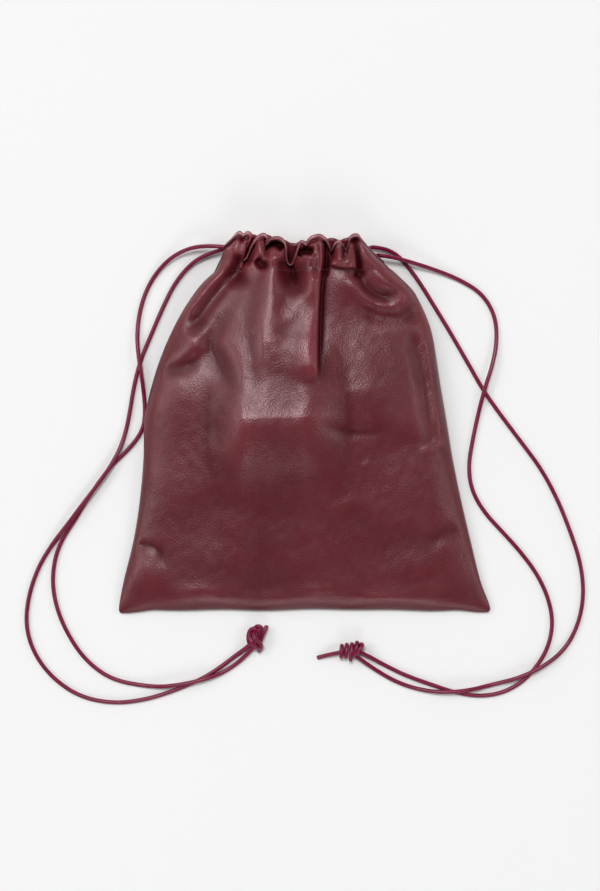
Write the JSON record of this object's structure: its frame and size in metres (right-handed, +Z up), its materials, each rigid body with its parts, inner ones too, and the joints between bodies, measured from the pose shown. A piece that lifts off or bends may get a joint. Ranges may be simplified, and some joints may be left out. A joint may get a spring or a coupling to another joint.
{
  "type": "drawstring leather bag",
  "caption": "Soft leather drawstring bag lying flat, mouth gathered on round leather cords that leave the neck on both sides and end in knots.",
  "frame": {"origin": "on the surface that the bag lies on, under the middle of the bag without its free cords", "axes": "+X to the bag's right, +Y from the bottom seam to the mouth, +Z up out of the front panel"},
  "size_m": [0.3521, 0.296, 0.0299],
  "materials": {
    "leather": "soft fine-grained nappa leather, burgundy, with a low satin sheen",
    "cord": "round polished leather cord, deep magenta red",
    "thread": "twisted polyester thread, tone on tone"
  },
  "bodies": {
    "bag": {"front_panel": "leather", "back_panel": "leather", "front_casing": "leather", "back_casing": "leather", "left_side_stitching": "thread", "right_side_stitching": "thread", "bottom_stitching": "thread", "front_casing_stitching": "thread", "back_casing_stitching": "thread"},
    "left_cord": {"left_cord_casing_loop": "cord", "left_cord_upper_strand": "cord", "left_cord_lower_strand": "cord", "left_cord_knot": "cord", "left_cord_tail": "cord", "left_cord_short_tail": "cord"},
    "right_cord": {"right_cord_casing_loop": "cord", "right_cord_upper_strand": "cord", "right_cord_lower_strand": "cord", "right_cord_knot": "cord", "right_cord_tail": "cord"}
  },
  "joints": [
    {"name": "left_cord_pull", "type": "slide", "parent": "bag", "child": "left_cord", "axis": [-1, 0, 0], "range_m": [0, 0.022], "deforming": ["front_casing", "back_casing"]},
    {"name": "right_cord_pull", "type": "slide", "parent": "bag", "child": "right_cord", "axis": [1, 0, 0], "range_m": [0, 0.022], "deforming": ["front_casing", "back_casing"]}
  ]
}
